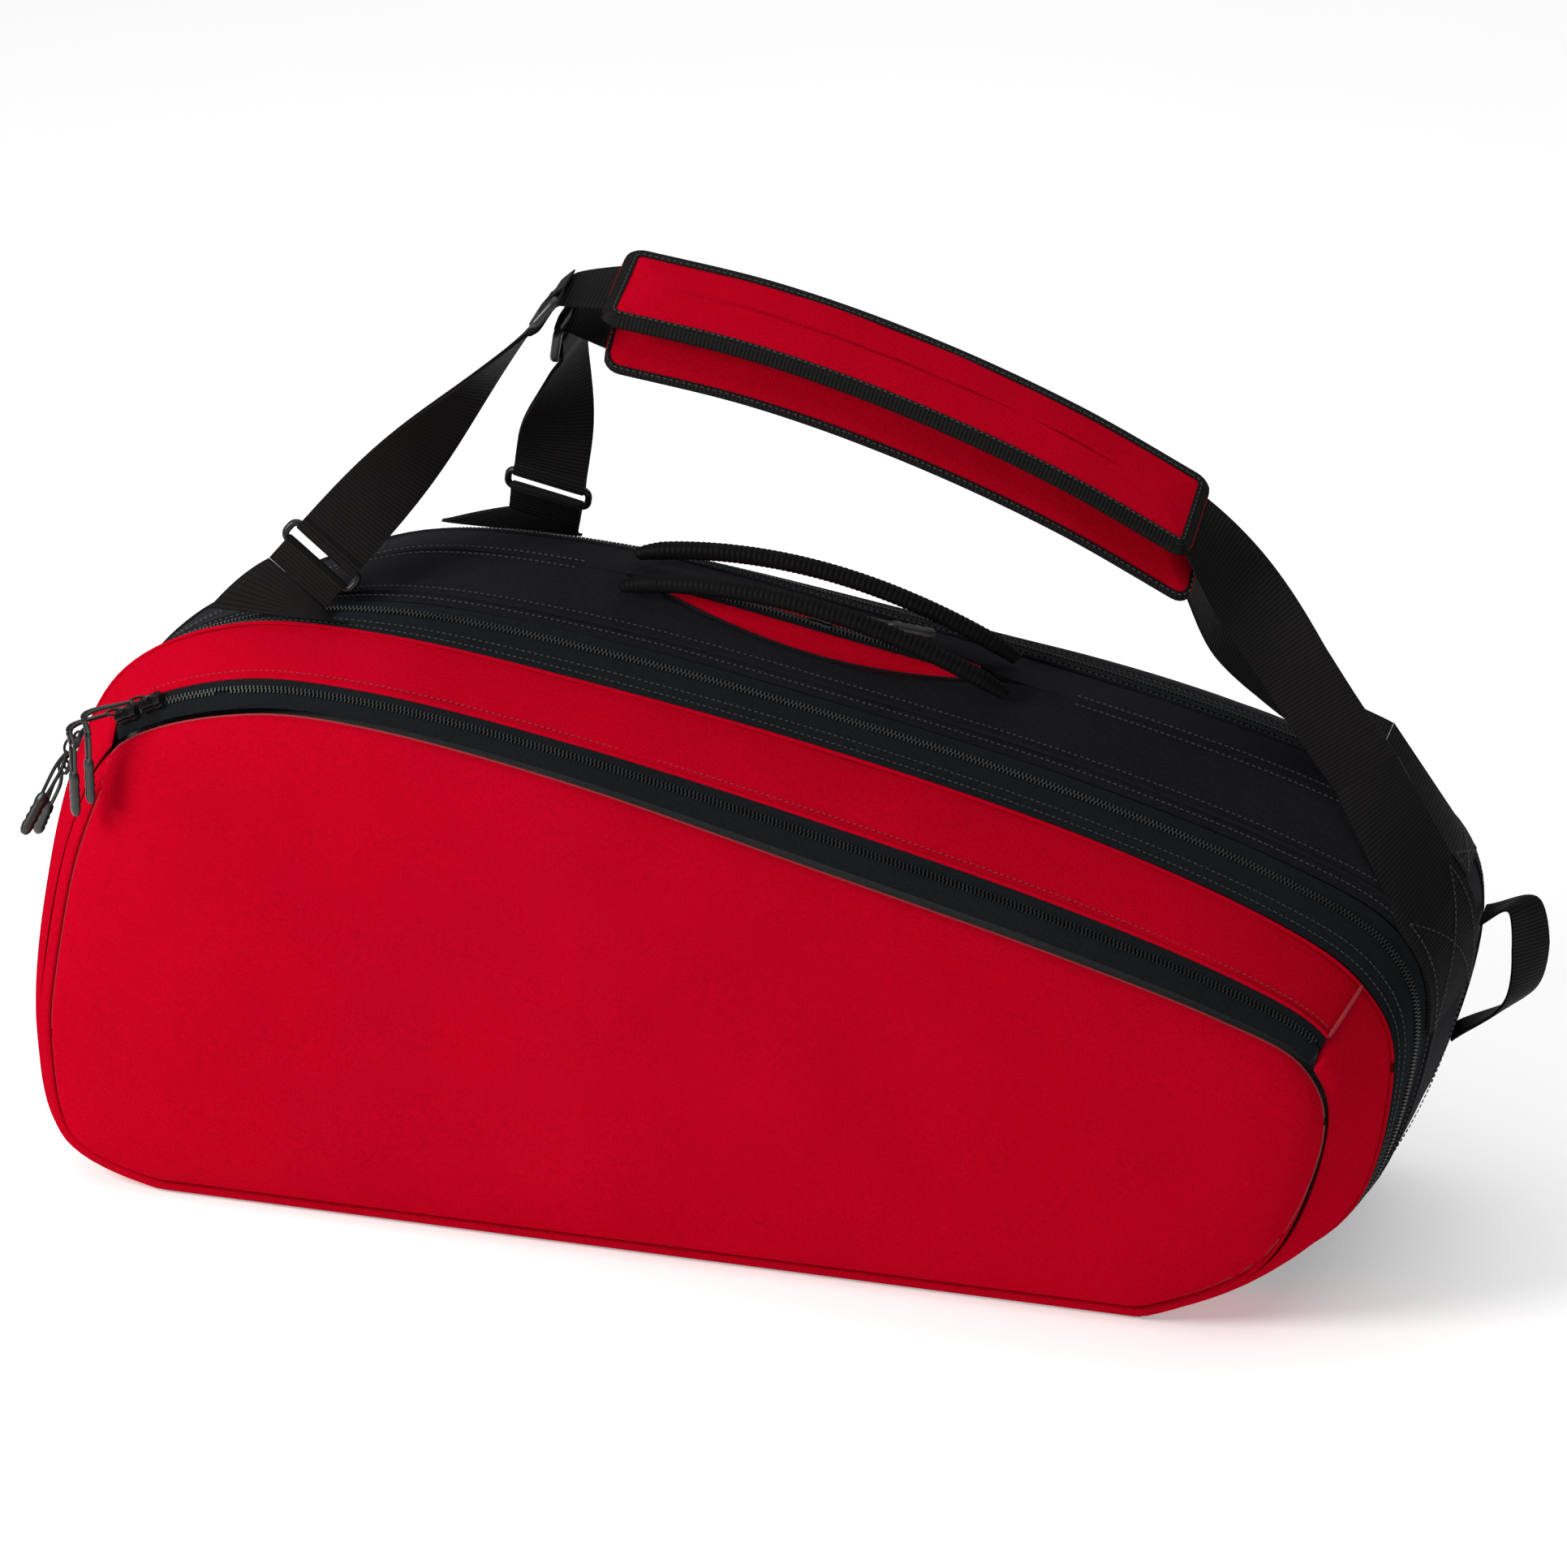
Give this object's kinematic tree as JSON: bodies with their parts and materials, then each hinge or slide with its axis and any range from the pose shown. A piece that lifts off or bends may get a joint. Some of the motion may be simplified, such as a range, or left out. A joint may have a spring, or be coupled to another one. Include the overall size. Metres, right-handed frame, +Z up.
{
  "type": "racket tournament bag",
  "caption": "Long soft bag for rackets: zipped front and rear compartments that open along the top and ends, a front pocket, carry handles, padded shoulder straps and a haul loop.",
  "frame": {"origin": "on the underside of the base panel, below the spine", "axes": "+X along the bag towards its narrow end, -Y towards the red front panel, +Z up"},
  "size_m": [0.8283, 0.252, 0.5255],
  "materials": {
    "red_fabric": "matt red coated weave",
    "black_fabric": "matt black coated weave",
    "zip_tape": "dark zip tape and coil",
    "grey_lining": "grey lining",
    "black_webbing": "ribbed black webbing",
    "black_metal": "black enamel",
    "black_plastic": "moulded black"
  },
  "bodies": {
    "core": {"base_panel": "black_fabric", "base_board": "grey_lining", "core_front_panel": "black_fabric", "core_rear_panel": "black_fabric", "front_zip_inner_tape": "zip_tape", "rear_zip_inner_tape": "zip_tape", "front_divider": "grey_lining", "rear_divider": "grey_lining", "centre_pocket_front_panel": "red_fabric", "centre_pocket_rear_panel": "red_fabric", "centre_zip_tape": "zip_tape", "centre_pocket_floor": "grey_lining", "front_sewn_end": "black_webbing", "rear_sewn_end": "black_webbing", "haul_loop": "black_webbing"},
    "front_shell": {"front_gusset": "red_fabric", "front_zip_outer_tape": "zip_tape", "front_panel": "red_fabric", "pocket_back_wall": "grey_lining", "pocket_zip_upper_tape": "zip_tape", "front_anchor_tab": "black_webbing"},
    "pocket_flap": {"pocket_flap": "red_fabric", "pocket_zip_lower_tape": "zip_tape"},
    "rear_shell": {"rear_gusset": "black_fabric", "rear_zip_outer_tape": "zip_tape", "rear_panel": "black_fabric", "rear_anchor_tab": "black_webbing"},
    "front_handle": {"front_handle": "black_webbing"},
    "rear_handle": {"rear_handle": "black_webbing"},
    "front_strap": {"front_ring_loop": "black_webbing", "front_ring": "black_metal", "front_adjuster_webbing": "black_webbing", "front_ladder_lock": "black_plastic", "front_pad_stub": "black_webbing", "front_strap_pad": "red_fabric", "front_fall_webbing": "black_webbing"},
    "rear_strap": {"rear_ring_loop": "black_webbing", "rear_ring": "black_metal", "rear_adjuster_webbing": "black_webbing", "rear_ladder_lock": "black_plastic", "rear_pad_stub": "black_webbing", "rear_strap_pad": "red_fabric", "rear_fall_webbing": "black_webbing"},
    "front_upper_slider": {"front_upper_slider": "black_metal"},
    "front_upper_pull": {"front_upper_pull": "black_plastic"},
    "front_lower_slider": {"front_lower_slider": "black_metal"},
    "front_lower_pull": {"front_lower_pull": "black_plastic"},
    "rear_upper_slider": {"rear_upper_slider": "black_metal"},
    "rear_upper_pull": {"rear_upper_pull": "black_plastic"},
    "rear_lower_slider": {"rear_lower_slider": "black_metal"},
    "rear_lower_pull": {"rear_lower_pull": "black_plastic"},
    "pocket_1_slider": {"pocket_1_slider": "black_metal"},
    "pocket_1_pull": {"pocket_1_pull": "black_plastic"},
    "pocket_2_slider": {"pocket_2_slider": "black_metal"},
    "pocket_2_pull": {"pocket_2_pull": "black_plastic"},
    "centre_slider": {"centre_slider": "black_metal"},
    "centre_pull": {"centre_pull": "black_plastic"}
  },
  "joints": [
    {"name": "front_shell_open", "type": "hinge", "parent": "core", "child": "front_shell", "pos_m": [0, -0.1054, 0], "axis": [1, 0, 0], "range_deg": [0, 18]},
    {"name": "rear_shell_open", "type": "hinge", "parent": "core", "child": "rear_shell", "pos_m": [0, 0.1054, 0], "axis": [-1, 0, 0], "range_deg": [0, 18]},
    {"name": "pocket_flap_fold", "type": "hinge", "parent": "front_shell", "child": "pocket_flap", "pos_m": [-0.338, -0.1218, 0.268], "axis": [0.9863, 0, -0.1651], "range_deg": [0, 70]},
    {"name": "front_handle_swing", "type": "hinge", "parent": "core", "child": "front_handle", "pos_m": [-0.084, -0.0145, 0.34984], "axis": [0.9837, 0, -0.1799], "range_deg": [0, 30]},
    {"name": "rear_handle_swing", "type": "hinge", "parent": "core", "child": "rear_handle", "pos_m": [-0.084, 0.0145, 0.35639], "axis": [-0.9844, 0, 0.1759], "range_deg": [0, 30]},
    {"name": "front_strap_swing", "type": "hinge", "parent": "core", "child": "front_strap", "pos_m": [-0.25284, -0.05585, 0.35076], "axis": [0.9914, 0.0726, -0.1089], "range_deg": [0, 35]},
    {"name": "rear_strap_swing", "type": "hinge", "parent": "core", "child": "rear_strap", "pos_m": [-0.14891, 0.05606, 0.35589], "axis": [-0.9874, 0.0633, 0.1451], "range_deg": [0, 35]},
    {"name": "front_upper_zip_travel", "type": "slide", "parent": "core", "child": "front_upper_slider", "axis": [0.3468, 0, 0.9379], "range_m": [0, 0.02]},
    {"name": "front_lower_zip_travel", "type": "slide", "parent": "core", "child": "front_lower_slider", "axis": [-0.3468, 0, -0.9379], "range_m": [0, 0.025]},
    {"name": "front_upper_pull_lift", "type": "hinge", "parent": "front_upper_slider", "child": "front_upper_pull", "pos_m": [-0.38704, -0.047, 0.24058], "axis": [0, 1, 0], "range_deg": [0, 70]},
    {"name": "front_lower_pull_lift", "type": "hinge", "parent": "front_lower_slider", "child": "front_lower_pull", "pos_m": [-0.39259, -0.047, 0.22557], "axis": [0, 1, 0], "range_deg": [0, 70]},
    {"name": "rear_upper_zip_travel", "type": "slide", "parent": "core", "child": "rear_upper_slider", "axis": [0.3945, 0, 0.9189], "range_m": [0, 0.015]},
    {"name": "rear_lower_zip_travel", "type": "slide", "parent": "core", "child": "rear_lower_slider", "axis": [-0.3945, 0, -0.9189], "range_m": [0, 0.02]},
    {"name": "rear_upper_pull_lift", "type": "hinge", "parent": "rear_upper_slider", "child": "rear_upper_pull", "pos_m": [-0.38557, 0.047, 0.24028], "axis": [0, 1, 0], "range_deg": [0, 70]},
    {"name": "rear_lower_pull_lift", "type": "hinge", "parent": "rear_lower_slider", "child": "rear_lower_pull", "pos_m": [-0.39188, 0.047, 0.22558], "axis": [0, 1, 0], "range_deg": [0, 70]},
    {"name": "pocket_2_zip_travel", "type": "hinge", "parent": "front_shell", "child": "pocket_2_slider", "pos_m": [-0.23855, -0.0995, 0.11089], "axis": [0, -1, 0], "range_deg": [-28, 0]},
    {"name": "pocket_1_zip_travel", "type": "hinge", "parent": "front_shell", "child": "pocket_1_slider", "pos_m": [-0.24785, -0.0995, 0.14395], "axis": [0, -1, 0], "range_deg": [-1, 0]},
    {"name": "pocket_1_pull_lift", "type": "hinge", "parent": "pocket_1_slider", "child": "pocket_1_pull", "pos_m": [-0.33725, -0.10276, 0.28738], "axis": [-1, 0, 0], "range_deg": [0, 60]},
    {"name": "pocket_2_pull_lift", "type": "hinge", "parent": "pocket_2_slider", "child": "pocket_2_pull", "pos_m": [-0.32286, -0.10276, 0.29592], "axis": [-1, 0, 0], "range_deg": [0, 60]},
    {"name": "centre_zip_travel", "type": "slide", "parent": "core", "child": "centre_slider", "axis": [0.9819, 0, -0.1895], "range_m": [-0.045, 0.03]},
    {"name": "centre_pull_lift", "type": "hinge", "parent": "centre_slider", "child": "centre_pull", "pos_m": [0.02131, 0, 0.34064], "axis": [0, -1, 0], "range_deg": [0, 80]}
  ]
}
